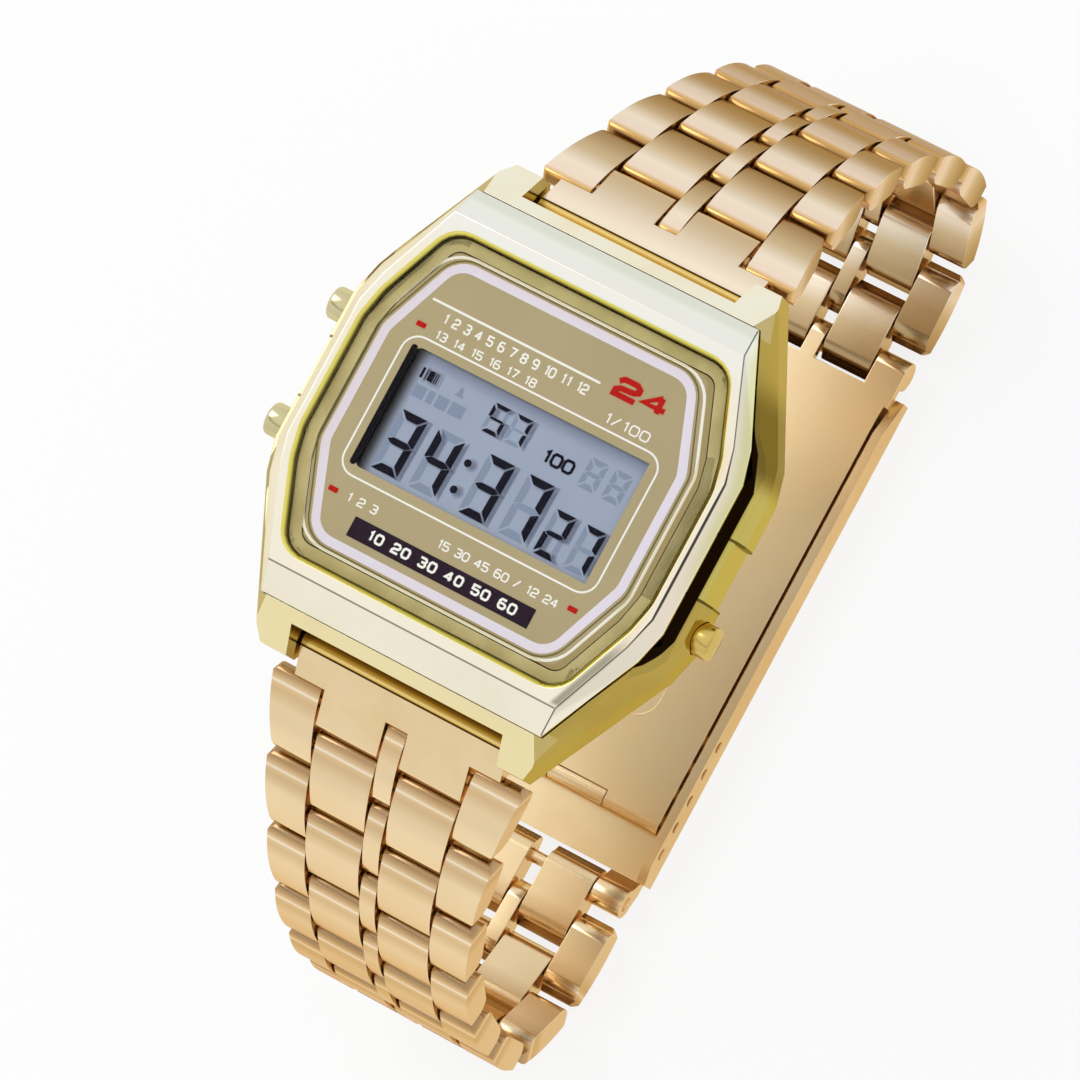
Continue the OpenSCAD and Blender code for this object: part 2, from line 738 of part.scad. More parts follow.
module clasp_cover() {
    z = leaf_top - sheet_t - 2 * leaf_pitch;
    end_y = clasp_y - finger_reach;
    hinge2_z = hinge_z - leaf_pitch;
    wall_x = blade_w / 2 + 0.25;
    wall_top = leaf_top - 0.1;
    color("burlywood") on_clasp() {
        difference() {
            union() {
                leaf(clasp_w, -end_y, end_y, z);
                for (s = [-1, 1]) {
                    translate([s > 0 ? wall_x : -clasp_w / 2, 0, 0]) rotate([90, 0, 90])
                        linear_extrude(clasp_w / 2 - wall_x)
                            polygon([[-end_y, z], [end_y, z], [end_y, wall_top - 1.4],
                                     [end_y - 3, wall_top], [-end_y + 1.6, wall_top],
                                     [-end_y, wall_top - 0.8]]);
                    rod_x(finger_r, s > 0 ? finger_in : -finger_w / 2,
                          s > 0 ? finger_w / 2 : -finger_in, -clasp_y);
                    translate([s > 0 ? finger_in : -finger_w / 2, -clasp_y, 0])
                        rotate([90, 0, 90]) linear_extrude(finger_w / 2 - finger_in)
                            polygon([[0, -finger_r], [0.9, z], [finger_reach + 1, z],
                                     [finger_reach + 1, z + sheet_t],
                                     [finger_reach, z + sheet_t], [0.5, finger_r - 0.2]]);
                }
                knuckles(blade_w, blade_l / 2, hinge2_z, true);
            }
            knuckle_room(blade_w, blade_l / 2, hinge2_z, true);
            rod_x(pin_d / 2 + run, -clasp_w, clasp_w, -clasp_y);
            for (n = [0:4])
                rod_x(0.45, -clasp_w, clasp_w, -end_y + 2.6 + 2.2 * n, 0.1);
        }
        rod_x(hinge_pin_r, -blade_w / 2 + 0.2, blade_w / 2 - 0.2, blade_l / 2, hinge2_z);
    }
}

case_body();
bezel();
crystal();
crystal_gasket();
dial_plate();
display_glass();
contact_strips();
module_frame();
circuit_board();
battery();
battery_clip();
buzzer_disc();
case_back();
back_gasket();
back_screws();
button_light();
button_mode();
button_start();
spring_light();
spring_mode();
spring_start();
button_seals();
strap_bars();
upper_end_link();
lower_end_link();
clasp_inner_blade();
clasp_outer_blade();
clasp_cover();
for (i = [1:rows]) link_row(1, i);
for (i = [1:rows]) link_row(-1, i);
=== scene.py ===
"""Looks of the gold-coloured digital wristwatch with its five-row link bracelet."""
import json
import math

import bmesh
import bpy
from mathutils import Matrix, Vector

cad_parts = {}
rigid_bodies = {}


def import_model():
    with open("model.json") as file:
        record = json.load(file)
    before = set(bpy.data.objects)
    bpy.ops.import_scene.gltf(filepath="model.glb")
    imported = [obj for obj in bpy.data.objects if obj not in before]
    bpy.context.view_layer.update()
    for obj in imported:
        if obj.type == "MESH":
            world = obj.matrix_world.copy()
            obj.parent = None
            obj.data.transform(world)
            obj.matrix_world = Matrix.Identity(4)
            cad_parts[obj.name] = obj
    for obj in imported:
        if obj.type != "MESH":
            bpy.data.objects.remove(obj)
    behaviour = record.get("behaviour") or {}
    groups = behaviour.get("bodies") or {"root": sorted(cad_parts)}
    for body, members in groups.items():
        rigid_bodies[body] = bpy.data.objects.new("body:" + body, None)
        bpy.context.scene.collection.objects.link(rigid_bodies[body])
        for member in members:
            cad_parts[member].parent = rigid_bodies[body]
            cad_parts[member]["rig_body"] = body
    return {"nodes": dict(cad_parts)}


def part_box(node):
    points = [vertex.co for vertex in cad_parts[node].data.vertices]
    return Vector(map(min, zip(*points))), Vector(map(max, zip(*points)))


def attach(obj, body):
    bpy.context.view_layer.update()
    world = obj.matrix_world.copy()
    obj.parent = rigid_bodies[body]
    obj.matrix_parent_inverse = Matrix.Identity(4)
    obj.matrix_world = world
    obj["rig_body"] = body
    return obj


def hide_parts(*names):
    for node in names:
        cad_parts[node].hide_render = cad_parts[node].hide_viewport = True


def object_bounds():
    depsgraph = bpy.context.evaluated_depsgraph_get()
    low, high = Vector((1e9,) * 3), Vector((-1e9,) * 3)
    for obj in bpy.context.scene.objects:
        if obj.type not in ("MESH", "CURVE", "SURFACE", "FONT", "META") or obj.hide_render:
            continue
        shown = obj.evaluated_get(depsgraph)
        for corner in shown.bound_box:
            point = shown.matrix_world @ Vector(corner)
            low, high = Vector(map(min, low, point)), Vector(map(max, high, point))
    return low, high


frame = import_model()
cad_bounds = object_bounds()
nodes = frame["nodes"]
mm = 0.001
case = "watch_case"

# Levels that the prints and the display's picture lie on, and the window's upper left corner

bezel_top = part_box("bezel")[1].z
dial_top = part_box("dial_plate")[1].z
glass_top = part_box("display_glass")[1].z
window_left = -9.45 * mm
window_top = 4.1 * mm


# Places in millimetres that the finishes of the body and the bezel follow

groove_bottom = bezel_top / mm - 3.6
recess_y = -0.1
recess_half = 2.2
bezel_edge_x = 15.3
crease_x = 14.5
crease_end = Vector((11.45, 13.3))

# Where the sides of the bezel's edge and of its crease turn in: x, y and slope of each turn
edge_turns = [(15.3, 5.6, 0.27), (14.65, 8.0, 0.554)]
crease_turns = [(14.5, 5.1, 0.271), (13.85, 7.5, 0.414)]


# Camera

view_right = Vector((0.8419, 0.4734, -0.2589))
to_camera = Vector((0.3239, -0.0595, 0.9442))


def add_camera():
    """Camera at the photograph's viewing angle, far enough off for its flat perspective."""
    distance = 0.5
    pixels_per_mm = 14.953
    frame_pixels = 1080
    dial_centre_off = Vector((-35.5, 82.4))
    data = bpy.data.cameras.new("photo_camera")
    data.sensor_width = 36
    data.lens = pixels_per_mm * distance / mm / frame_pixels * data.sensor_width
    data.shift_x = -dial_centre_off.x / frame_pixels
    data.shift_y = -dial_centre_off.y / frame_pixels
    data.clip_start = 0.01
    data.clip_end = 10
    z = to_camera.normalized()
    x = (view_right - z * view_right.dot(z)).normalized()
    camera = bpy.data.objects.new("photo_camera", data)
    turn = Matrix((x, z.cross(x), z)).transposed().to_4x4()
    camera.matrix_world = Matrix.Translation(Vector((0, 0, bezel_top)) + z * distance) @ turn
    bpy.context.scene.collection.objects.link(camera)
    bpy.context.scene.camera = camera


# Shader building


def linear(colour):
    """A colour written as on a screen, such as "d9b78c", as Blender's linear numbers."""
    parts = [int(colour[i:i + 2], 16) / 255 for i in (0, 2, 4)]
    return tuple(c / 12.92 if c < 0.04045 else ((c + 0.055) / 1.055) ** 2.4 for c in parts) + (1,)


class Wire:
    """A shader socket on which Python's operators add Math nodes."""

    def __init__(self, look, socket):
        self.look = look
        self.socket = socket

    def math(self, operation, *values):
        return self.look.node("Math", {"operation": operation}, dict(enumerate(values)))

    def __add__(self, other):
        return self.math("ADD", self, other)

    __radd__ = __add__

    def __mul__(self, other):
        return self.math("MULTIPLY", self, other)

    __rmul__ = __mul__

    def __sub__(self, other):
        return self.math("SUBTRACT", self, other)

    def __rsub__(self, other):
        return self.math("SUBTRACT", other, self)

    def __truediv__(self, other):
        return self.math("DIVIDE", self, other)

    def __neg__(self):
        return self.math("MULTIPLY", self, -1)

    def __abs__(self):
        return self.math("ABSOLUTE", self)

    def most(self, other):
        return self.math("MAXIMUM", self, other)

    def least(self, other):
        return self.math("MINIMUM", self, other)

    def between(self, low, full, fade, gone):
        """A band that rises from low to full and falls from fade to gone."""
        return self.ease(low, full) * (1 - self.ease(fade, gone))

    def ease(self, low, high):
        """0 below low, 1 above high and a smooth step between them."""
        values = {"Value": self, "From Min": low, "From Max": high}
        return self.look.node("MapRange", {"interpolation_type": "SMOOTHSTEP"}, values)


class Look:
    """The node tree of a material or of the world, and short ways to add to it."""

    def __init__(self, owner):
        owner.use_nodes = True
        self.owner = owner
        self.tree = owner.node_tree

    def node(self, kind, settings=None, values=None, out=0):
        """Adds one node: its type, its settings, then its sockets' values or links."""
        made = self.tree.nodes.new("ShaderNode" + kind)
        for key, value in (settings or {}).items():
            if key == "stops":
                self.set_stops(made.color_ramp, value)
            else:
                setattr(made, key, value)
        for key, value in (values or {}).items():
            self.feed(made.inputs[key], value)
        return Wire(self, made.outputs[out])

    def feed(self, socket, value):
        if isinstance(value, Wire):
            self.tree.links.new(value.socket, socket)
        else:
            socket.default_value = value

    def set_stops(self, ramp, stops):
        while len(ramp.elements) < len(stops):
            ramp.elements.new(0.5)
        for element, (place, colour) in zip(ramp.elements, stops):
            element.position = place
            element.color = linear(colour)

    def ends_in(self, shader):
        output = next(n for n in self.tree.nodes if n.type.startswith("OUTPUT"))
        self.tree.links.new(shader.socket, output.inputs["Surface"])

    def principled(self, **values):
        """Feeds the material's own shader; a name's underscores stand for spaces."""
        shader = self.tree.nodes["Principled BSDF"]
        for key, value in values.items():
            self.feed(shader.inputs[key.replace("_", " ")], value)

    def point(self):
        """The point in the watch's frame, in metres."""
        return self.node("TexCoord", out="Object")

    def place(self, axis):
        """One coordinate of the point in the watch's frame, in metres."""
        return self.node("SeparateXYZ", values={0: self.point()}, out="XYZ".index(axis))

    def facing(self, axis):
        """One coordinate of the surface's normal in the watch's frame."""
        normal = self.node("TexCoord", out="Normal")
        return self.node("SeparateXYZ", values={0: normal}, out="XYZ".index(axis))

    def stretched(self, scales):
        """The point with each coordinate scaled, for grain that runs one way."""
        return self.node("VectorMath", {"operation": "MULTIPLY"}, {0: self.point(), 1: scales})

    def noise(self, scale, detail=3.0, rough=0.5, at=None):
        """Noise of 0 to 1 whose grains are 1 / scale metres across."""
        values = {"Vector": at or self.point(), "Scale": scale, "Detail": detail, "Roughness": rough}
        return self.node("TexNoise", values=values, out="Fac")

    def mix(self, factor, low, high):
        """Two colours mixed by factor; each is a wire or written as on a screen."""
        ends = [linear(colour) if isinstance(colour, str) else colour for colour in (low, high)]
        return self.node("Mix", {"data_type": "RGBA"}, {0: factor, 6: ends[0], 7: ends[1]}, 2)

    def layered(self, tone, layers):
        """A tone with colours laid over it in turn, each as strongly as its factor says."""
        for factor, colour in layers:
            tone = self.mix(factor, tone, colour)
        return tone

    def bump(self, height, depth, strength=1.0):
        """A normal from a height of 0 to 1 that stands for depth metres."""
        return self.node("Bump", values={"Height": height, "Distance": depth, "Strength": strength},
                         out="Normal")


def new_look(name):
    return Look(bpy.data.materials.new(name))


# Finishes

hairlines = (5200, 900, 5200)
pale_rim = "f4e8cc"


def smudges(look):
    """Faint smudges of 0 to 1, as on a handled polished piece."""
    return look.noise(180, 4.0).ease(0.35, 0.75)


def polished_metal(name, colour, worn, rough, scratch=0.04, streaks=hairlines):
    """Plated metal with hairlines, faint smudges and a slightly different tone in patches."""
    look = new_look(name)
    smudge = smudges(look)
    plate(look, look.mix(smudge * 0.6, colour, worn), rough, smudge, scratch, streaks)
    return look.owner


def plate(look, tone, rough, smudge, scratch=0.04, streaks=hairlines, rim=pale_rim):
    """Feeds a metal's shader: its tone, smudged gloss, hairlines and the tint at a slant."""
    hair = look.noise(1, 5.0, 0.6, look.stretched(streaks))
    look.principled(
        Base_Color=tone,
        Metallic=1.0,
        Specular_Tint=linear(rim),
        Roughness=rough + smudge * 0.05 + hair * scratch,
        Normal=look.bump(hair, 0.5e-6, 0.3),
    )


def turned_side(out, widest, turns):
    """x of an eight-sided outline's right side, out millimetres along Y from its middle."""
    side = widest
    for x, y, slope in turns:
        side = (x - (out - y) * slope).least(side)
    return side


def body_finish():
    """Gold plating of the body with painted reflection and shade: pale on its ends, olive on the flanks,
    painted shade dark in the groove.
    """
    look = new_look("case_plating")
    x = look.place("X") / mm
    y = look.place("Y") / mm
    out = abs(y)
    smudge = smudges(look)

    # The flanks, by millimetres towards 12 o'clock, in painted reflection and shade: grey at the left,
    # a painted highlight beside the recess, painted brown shade beyond it, and a painted dark shade line
    # at each of its ends
    recess_end_shade = (abs(y - recess_y) - recess_half).between(-0.06, 0.0, 0.14, 0.22)
    flank = look.layered(look.mix(smudge * 0.5, "b8a050", "a98f41"), [
        ((1 - x.ease(-1.0, 1.0)) * 0.8, "b3ac86"),
        (y.between(-2.35, -2.25, 5.0, 7.0) * x.ease(0.0, 1.0) * 0.7, "cbbf68"),
        (y.between(5.6, 7.4, 10.5, 13.5) * 0.85, "6f5c26"),
        (recess_end_shade * 0.85, "3c2c0c"),
    ])
    # Painted reflection on the ends: yellower towards 6 o'clock, whiter towards 12 o'clock
    ends = look.mix(smudge * 0.3, look.mix(y.ease(-2.0, 2.0), "f9ebb8", "f1edd8"), "ecd9a0")
    # Painted reflection: the olive flank tone on faces turned sideways and everywhere between the ends
    side = abs(look.facing("X")).ease(0.45, 0.8).most(1 - out.ease(14.9, 15.3))

    # The groove's painted shade: a dark strip beside the bezel that tapers towards both ends
    width = 0.42 * y.between(-9.0, -6.5, 5.0, 13.0)
    groove = (turned_side(out, bezel_edge_x, edge_turns) + width - abs(x)).ease(-0.02, 0.03)
    groove = groove * (look.place("Z") / mm).ease(groove_bottom, groove_bottom + 0.1)
    groove = groove * (1 - out.ease(12.2, 12.5))
    tone = look.layered(ends, [(side, flank), (groove, "1a1006")])
    plate(look, tone, 0.1, smudge, rim="f2e0b0")
    return look.owner


def strap_finish(name, change=None):
    """Satin rose-gold plating; change may alter its tone over the surface."""
    look = new_look(name)
    smudge = smudges(look)
    tone = look.mix(smudge * 0.6, "f2d9ae", "e6c692")
    if change:
        tone = change(look, tone)
    plate(look, tone, 0.2, smudge, 0.03, (9000, 900, 900), "ecd0a8")
    return look.owner


def along_link(look, stops):
    """Tones along a link, from 0 at its end nearer 12 o'clock to 1 at the other."""
    along = look.node("Attribute", {"attribute_name": "along"}, out="Fac")
    return look.node("ValToRGB", {"stops": stops}, {"Fac": along})


def painted_rolled_ends(look, tone):
    """Painted reflection, highlight and shade across the upper end of each lower link: a brown roll, a
    bright line and soft shade.
    """
    return look.mix(0.7, tone, along_link(look, [
        (0.0, "7a5026"), (0.06, "a97c4a"), (0.13, "e0bf92"), (0.155, "fff6e2"), (0.18, "e0c091"),
        (0.24, "d2b080"), (0.42, "f0d6ac"), (0.9, "f2d9b0"), (0.96, "fbe8b4"), (1.0, "a67c38")]))


def painted_upper_links(look, tone):
    """Upper links in painted reflection and shade: pale at the end nearer the case, khaki beyond and brown
    round the bend.
    """
    painted_grade = look.mix(0.85, tone, along_link(look, [
        (0.0, "84684a"), (0.12, "a68a60"), (0.3, "bda279"), (0.5, "d6bf98"), (0.72, "fdf0dc"),
        (0.9, "fbe6d2"), (0.96, "dfae60"), (1.0, "8a5c20")]))
    # Painted shade: darker brown where a face turns towards 12 o'clock
    return look.mix(look.facing("Y").ease(0.6, 1.0) * 0.7, painted_grade, "8a6c4c")


def shaded_gap(look, tone):
    """Painted shade and highlight where an end link dives under the case, a gold strip and a dark line;
    painted reflection paler on the upper one and khaki farther out.
    """
    strip_start = 16.6
    strip_width = 0.8
    y = look.place("Y") / mm
    # Painted reflection: the upper end link paler, khaki farther out
    tone = look.layered(tone, [(y.ease(0.0, 1.0) * 0.9, "fff0da"), (y.ease(17.8, 21.5) * 0.85, "ccb082")])
    across = (abs(y) - strip_start) / strip_width
    # Painted shade and highlight across the gap: dark gold, a bright line, then a dark shade line
    stops = [(0.0, "6e4c14"), (0.25, "b98a2a"), (0.5, "f4d98e"), (0.68, "dfb455"), (0.75, "3c260a"),
             (0.85, "3c260a")]
    strip = look.node("ValToRGB", {"stops": stops}, {"Fac": across})
    return look.mix(1 - across.ease(0.86, 0.92), tone, strip)


def bezel_finish():
    """Ivory gold plating with painted reflection and shade: a dark crease, a warm inner band and a yellow
    chamfer.
    """
    look = new_look("bezel_plating")
    x = look.place("X") / mm
    y = look.place("Y") / mm
    out = abs(y)
    slant = look.facing("X")
    slope = slant.ease(0.2, 0.26)
    smudge = smudges(look)
    beside_display = 1 - out.ease(4.5, 8.5)

    # The painted dark crease shade on the right, thicker beside the display, and the one towards 6 o'clock
    shoulder = crease_end.x - (out - crease_end.y) * 0.143
    off = x - turned_side(out, crease_x, crease_turns).most(shoulder)
    crease = 1 - (abs(off) - (0.085 - out.ease(3.0, 8.0) * 0.05)).ease(-0.04, 0.04)
    crease = crease * (1 - out.ease(15.2, 15.4))
    foot = (1 - abs(y + crease_end.y).ease(0.03, 0.09)) * (1 - abs(x).ease(11.3, 11.5))
    corner_shade = (1 - abs(off + 0.3).ease(0.1, 0.5)) * (-y).between(6.5, 9.0, 12.9, 13.3)
    # Painted reflection and shade on the plating: a whiter highlight towards 12 o'clock, a pale green
    # reflection line, a warm band and a pale highlight on the slope beside the display, painted corner
    # shade, a yellow-green reflection on the outer slope, the painted dark crease line and painted shade
    # over the left crease's bevel highlight
    top = look.layered(look.mix(smudge * 0.6, "f6efdb", "efe6cc"), [
        (y.ease(9.0, 14.0) * 0.8, "f1f3ee"),
        (y.between(14.4, 14.9, 15.3, 15.8) * 0.3, "c2cca6"),
        (x.between(12.7, 13.0, 13.4, 14.4) * beside_display * 0.9, "fbd9a0"),
        (slope * beside_display * 0.8, "fff2de"),
        (corner_shade * 0.8, "8f876e"),
        (off.ease(0.0, 0.7) * slope * y.ease(-5.0, 3.0) * 0.7, "dfe09c"),
        (crease.most(foot * 0.7) * 0.95, "1c130a"),
        ((-slant).between(0.03, 0.07, 0.2, 0.25) * 0.55, "8f8a78"),
    ])

    # The opening's chamfer in painted light and shade: a yellow highlight at its lip, brown at the right,
    # and painted shade dark where it meets the glass
    inward = -(look.facing("X") * look.place("X") + look.facing("Y") * look.place("Y")) / (12 * mm)
    depth = (bezel_top - look.place("Z")) / mm
    deep = look.mix(y.ease(3.0, 9.0), "6b6330", "1d1906")
    lip = look.mix(x.ease(12.4, 12.8) * beside_display * 0.8, "efe272", "4a3416")
    chamfer = look.mix(depth.ease(0.08, 0.3), lip, deep)
    plate(look, look.mix(inward.ease(0.15, 0.4), top, chamfer), 0.07, smudge)
    return look.owner


def moulded(name, colour, other, rough, grain=4200):
    """Moulded plastic or rubber with a fine skin and slightly uneven colour."""
    look = new_look(name)
    skin = look.noise(grain, 2.0)
    tone = look.noise(350, 3.0).ease(0.3, 0.7)
    look.principled(
        Base_Color=look.mix(tone, colour, other),
        Roughness=rough + skin * 0.12,
        Normal=look.bump(skin, 6e-6),
    )
    return look.owner


def ink(name, colour, thin, rough=0.5):
    """Screen-printed ink, thinner where the screen's weave held it back."""
    look = new_look(name)
    weave = look.noise(9000, 1.0)
    look.principled(
        Base_Color=look.mix(weave * 0.4, colour, thin),
        Specular_IOR_Level=0.05,
        Roughness=rough + weave * 0.15,
        Normal=look.bump(weave, 1.5e-6),
    )
    return look.owner


def dial_finish():
    """Khaki-gold metallic paint with a fine sparkle."""
    look = new_look("dial_khaki")
    flake = look.noise(16000, 1.0).ease(0.45, 0.75)
    cloud = look.noise(120, 2.0)
    tone = look.mix(cloud, "a4946a", "b1a27b")
    look.principled(
        Base_Color=look.mix(flake * 0.25, tone, "c3b98c"),
        Metallic=0.25,
        Roughness=0.42 - flake * 0.1,
        Normal=look.bump(flake, 2e-6),
    )
    return look.owner


def display_finish():
    """Blue-grey reflector of the cell, with painted shadow of the window's left and upper edges."""
    look = new_look("display_reflector")
    left = (look.place("X") - window_left) / mm
    top = (window_top - look.place("Y")) / mm
    grain = look.noise(6000, 2.0)
    tone = look.mix(look.noise(140, 2.0), "909db5", "a2acc3")
    # Painted shadow: darker below the window's upper edge, and near black beside its left edge
    shaded = look.mix(1 - top.ease(-0.1, 1.3), tone, "76819a")
    look.principled(
        Base_Color=look.mix(1 - left.ease(0.25, 1.3), shaded, "08060e"),
        Roughness=0.42 + grain * 0.1,
        Normal=look.bump(grain, 2e-6),
    )
    return look.owner


def crystal_finish():
    """Clear acrylic that mirrors a little, more at a slant, with an olive tint in its slope as painted
    refraction.
    """
    look = new_look("clear_acrylic")
    fresnel = look.node("Fresnel", values={"IOR": 1.4})
    haze = look.noise(300, 3.0)
    # Painted refraction: the slope tints what is seen through it olive
    slope = 1 - abs(look.facing("Z")).ease(0.93, 0.995)
    clear = look.node("BsdfTransparent", values={"Color": (0.99, 0.99, 0.985, 1)})
    olive = look.node("BsdfTransparent", values={"Color": (0.86, 0.82, 0.66, 1)})
    body = look.node("MixShader", values={0: slope * 0.9, 1: clear, 2: olive})
    gloss = look.node("BsdfGlossy", values={"Roughness": 0.02, "Color": (1, 1, 1, 1)})
    factor = (fresnel * (0.1 + haze * 0.05)).least(0.3)
    look.ends_in(look.node("MixShader", values={0: factor, 1: body, 2: gloss}))
    return look.owner


def soft_shade_finish():
    """Shadow that a display segment throws on the reflector behind it."""
    look = new_look("segment_shade")
    depth = look.node("Attribute", {"attribute_name": "shade"}, out="Fac")
    look.principled(Base_Color=linear("46546f"), Roughness=0.6, Alpha=depth * 0.4)
    return look.owner


# Mesh building


def add_object(name, mesh, material, body=case):
    piece = bpy.data.objects.new(name, mesh)
    bpy.context.scene.collection.objects.link(piece)
    mesh.materials.clear()
    mesh.materials.append(material)
    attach(piece, body)
    return piece


def centre(name):
    low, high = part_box(name)
    return (low + high) / 2


def mark_length(name, mesh):
    """Stores how far along its link each vertex lies, from 0 at the end nearer 12 o'clock."""
    strap, number = name.split("_link_")
    step = 1 if strap + "_link_" + str(int(number) + 1) in nodes else -1
    ahead = (centre(strap + "_link_" + str(int(number) + step)) - centre(name)) * step
    if strap == "upper":
        ahead = -ahead
    middle = sum((v.co for v in mesh.vertices), Vector()) / len(mesh.vertices)
    off = [v.co - middle for v in mesh.vertices]
    slope = math.atan2(2 * sum(p.y * p.z for p in off), sum(p.y * p.y - p.z * p.z for p in off)) / 2
    axis = Vector((0, math.cos(slope), math.sin(slope)))
    if axis.dot(ahead) < 0:
        axis = -axis
    spans = [p.dot(axis) for p in off]
    start, length = min(spans), max(spans) - min(spans)
    along = mesh.attributes.new("along", "FLOAT", "POINT")
    for mark, span in zip(along.data, spans):
        mark.value = (span - start) / length


def softened(name, width, sharp):
    """A node's own mesh with its edges sharper than sharp degrees rounded; it replaces the node."""
    weld = 2e-7
    source = nodes[name]
    mesh = source.data.copy()
    mesh.name = name + "_soft"
    form = bmesh.new()
    form.from_mesh(mesh)
    bmesh.ops.remove_doubles(form, verts=form.verts, dist=weld)
    bmesh.ops.dissolve_limit(form, angle_limit=math.radians(0.6), verts=form.verts, edges=form.edges)
    limit = math.radians(sharp)
    edges = [e for e in form.edges if len(e.link_faces) == 2 and e.calc_face_angle(0) > limit]
    bmesh.ops.bevel(form, geom=edges, offset=width * mm, segments=2, profile=0.5,
                    affect="EDGES", clamp_overlap=True)
    bmesh.ops.remove_doubles(form, verts=form.verts, dist=weld)
    for face in form.faces:
        face.smooth = True
    form.to_mesh(mesh)
    form.free()
    if "_link_" in name:
        mark_length(name, mesh)
    piece = add_object(name + "_soft", mesh, source.data.materials[0], source["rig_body"])
    stands_in(piece, name)


def stands_in(piece, name):
    """Shades a rounded piece's broad faces evenly and lets it stand in for its node."""
    weigh = piece.modifiers.new("even_normals", "WEIGHTED_NORMAL")
    weigh.keep_sharp = True
    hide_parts(name)


# A button's outline from its inner end to its face: distance behind the face, and radius
button_outline = [
    (6.95, 0.0), (6.95, 0.55), (6.9, 0.6), (6.5, 0.6), (6.5, 1.1), (6.25, 1.1), (6.25, 0.6),
    (2.2, 0.6), (2.2, 1.12), (2.12, 1.2), (0.3, 1.2), (0.16, 1.17), (0.06, 1.1), (0.0, 0.98), (0.0, 0.0),
]
button_sides = 64


def turned_button(name, material):
    """A button turned about X with rounded edges; it stands in for the node."""
    low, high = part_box(name)
    middle = centre(name)
    side = 1 if low.x > 0 else -1
    tip = max(abs(low.x), abs(high.x)) / mm
    form = bmesh.new()
    rings = []
    for back, radius in button_outline:
        turns = [i * math.tau / button_sides for i in range(button_sides if radius else 1)]
        rings.append([form.verts.new((side * (tip - back) * mm,
                                      middle.y + radius * mm * math.cos(turn),
                                      middle.z + radius * mm * math.sin(turn))) for turn in turns])
    for ring, after in zip(rings, rings[1:]):
        for i in range(button_sides):
            j = (i + 1) % button_sides
            corners = [ring[i % len(ring)], ring[j % len(ring)],
                       after[j % len(after)], after[i % len(after)]]
            face = form.faces.new(list(dict.fromkeys(corners)))
            face.smooth = True
    piece = finish_form(name + "_turned", form, material, nodes[name]["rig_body"])
    stands_in(piece, name)


def prism(name, outlines, level, thickness, material):
    """Thin closed plates on one level; each outline is a list of points in millimetres."""
    form = bmesh.new()
    for outline in outlines:
        low = [form.verts.new((x * mm, y * mm, level)) for x, y in outline]
        high = [form.verts.new((x * mm, y * mm, level + thickness * mm)) for x, y in outline]
        form.faces.new(high)
        form.faces.new(low[::-1])
        for i, vert in enumerate(low):
            j = (i + 1) % len(low)
            form.faces.new((vert, low[j], high[j], high[i]))
    finish_form(name, form, material)


def finish_form(name, form, material, body=case):
    bmesh.ops.recalc_face_normals(form, faces=form.faces)
    mesh = bpy.data.meshes.new(name)
    form.to_mesh(mesh)
    form.free()
    return add_object(name, mesh, material, body)


def band(name, outer, inner, level, thickness, material):
    """A closed flat ring between two outlines that have equally many points."""
    form = bmesh.new()
    rings = []
    for outline, z in ((inner, level), (outer, level),
                       (outer, level + thickness * mm), (inner, level + thickness * mm)):
        rings.append([form.verts.new((x * mm, y * mm, z)) for x, y in outline])
    for ring, after in zip(rings, rings[1:] + rings[:1]):
        for i in range(len(ring)):
            j = (i + 1) % len(ring)
            form.faces.new((ring[i], ring[j], after[j], after[i]))
    finish_form(name, form, material)


def rounded(corners, radius, steps=6):
    """The outline through corners, each replaced by an arc of the radius."""
    points = []
    for i, corner in enumerate(corners):
        here = Vector(corner)
        back = (Vector(corners[i - 1]) - here).normalized()
        ahead = (Vector(corners[(i + 1) % len(corners)]) - here).normalized()
        half = back.angle(ahead) / 2
        hub = here + (back + ahead).normalized() * radius / math.sin(half)
        start = here + back * radius / math.tan(half) - hub
        turn = math.pi - 2 * half
        side = 1 if back.cross(ahead) < 0 else -1
        for k in range(steps + 1):
            angle = side * turn * k / steps
            points.append(tuple(hub + Matrix.Rotation(angle, 2) @ start))
    return points


def eight_corners(half_w, half_l, end_w, waist):
    """Corners of the dial's outline, anticlockwise from the lower right."""
    right = [(end_w, -half_l), (half_w, -waist), (half_w, waist), (end_w, half_l)]
    return right + [(-x, y) for x, y in right[::-1]]


def rectangle(x0, y0, x1, y1):
    return [(x0, y0), (x1, y0), (x1, y1), (x0, y1)]


# Printed dial

# Thickness and level of the prints, and how far all prints and the display's marks move along X
print_h = 0.015
print_level = dial_top - 0.004 * mm
print_shift = -0.38
display_shift = -0.2


def shifted(outline, more=0.0):
    return [(x + print_shift + more, y) for x, y in outline]


